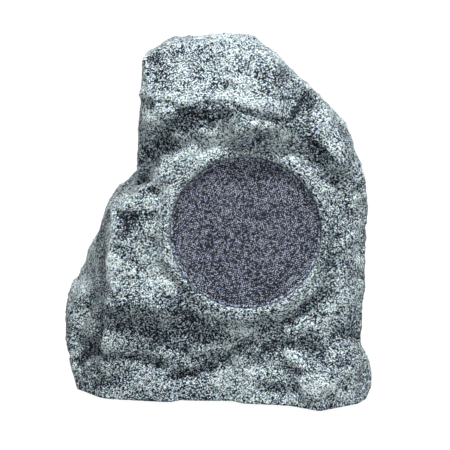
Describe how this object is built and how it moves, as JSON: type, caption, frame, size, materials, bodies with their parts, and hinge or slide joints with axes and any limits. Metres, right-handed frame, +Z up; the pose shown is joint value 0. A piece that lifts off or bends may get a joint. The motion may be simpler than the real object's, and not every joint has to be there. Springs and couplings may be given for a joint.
{
  "type": "rock shaped garden speaker",
  "caption": "Outdoor loudspeaker in a hollow moulded boulder, with a round perforated grille over a coaxial driver, a screwed base plate, rubber feet and a rear cable gland.",
  "frame": {"origin": "on the floor, under the middle of the object's box", "axes": "+X right and +Z up as seen from the grille side, +Y to the back"},
  "size_m": [0.3647, 0.2996, 0.411],
  "materials": {
    "granite_resin": "granite speckle",
    "speckled_steel": "granite speckle over black",
    "foam_gasket": "matt",
    "black_steel": "satin",
    "phenolic": "matt",
    "zinc_steel": "zinc plated",
    "butyl_rubber": "matt",
    "poly_cone": "satin",
    "former_foil": "foil",
    "copper_wire": "enamelled copper",
    "cotton_spider": "resin dipped cotton",
    "ferrite": "ground ferrite",
    "black_plastic": "moulded",
    "neodymium": "nickel plated",
    "silk_dome": "coated silk",
    "fibreglass_board": "solder mask",
    "cement": "ceramic",
    "green_plastic": "moulded",
    "polyester_wadding": "fibre",
    "capacitor_film": "sleeve",
    "foot_rubber": "matt"
  },
  "bodies": {
    "cabinet": {"back_plate": "zinc_steel", "base_gasket": "foam_gasket", "base_plate": "black_plastic", "base_screws": "zinc_steel", "board_screws": "zinc_steel", "capacitor_1": "capacitor_film", "capacitor_2": "capacitor_film", "crossover_board": "fibreglass_board", "driver_basket": "black_steel", "driver_gasket": "foam_gasket", "driver_screws": "zinc_steel", "driver_terminals": "phenolic", "foot_1": "foot_rubber", "foot_2": "foot_rubber", "foot_3": "foot_rubber", "foot_4": "foot_rubber", "foot_screws": "zinc_steel", "gland_body": "black_plastic", "gland_cap": "black_plastic", "gland_locknut": "black_plastic", "gland_seal": "butyl_rubber", "gland_washer": "butyl_rubber", "grille": "speckled_steel", "inductor_bobbin": "black_plastic", "inductor_winding": "copper_wire", "magnet": "ferrite", "resistor": "cement", "rock_shell": "granite_resin", "spider": "cotton_spider", "surround": "butyl_rubber", "terminal_block": "green_plastic", "top_plate": "zinc_steel", "tweeter_cup": "black_plastic", "tweeter_dome": "silk_dome", "tweeter_guard": "black_plastic", "tweeter_magnet": "neodymium", "tweeter_post": "zinc_steel", "wadding": "polyester_wadding"},
    "cone_assembly": {"cone": "poly_cone", "coil_former": "former_foil", "coil_winding": "copper_wire"}
  },
  "joints": [
    {"name": "cone_travel", "type": "slide", "parent": "cabinet", "child": "cone_assembly", "axis": [0, -0.9816, 0.1908], "range_m": [-0.004, 0.004], "stiffness_N_per_m": 1200, "deforming": ["surround", "spider"]}
  ]
}
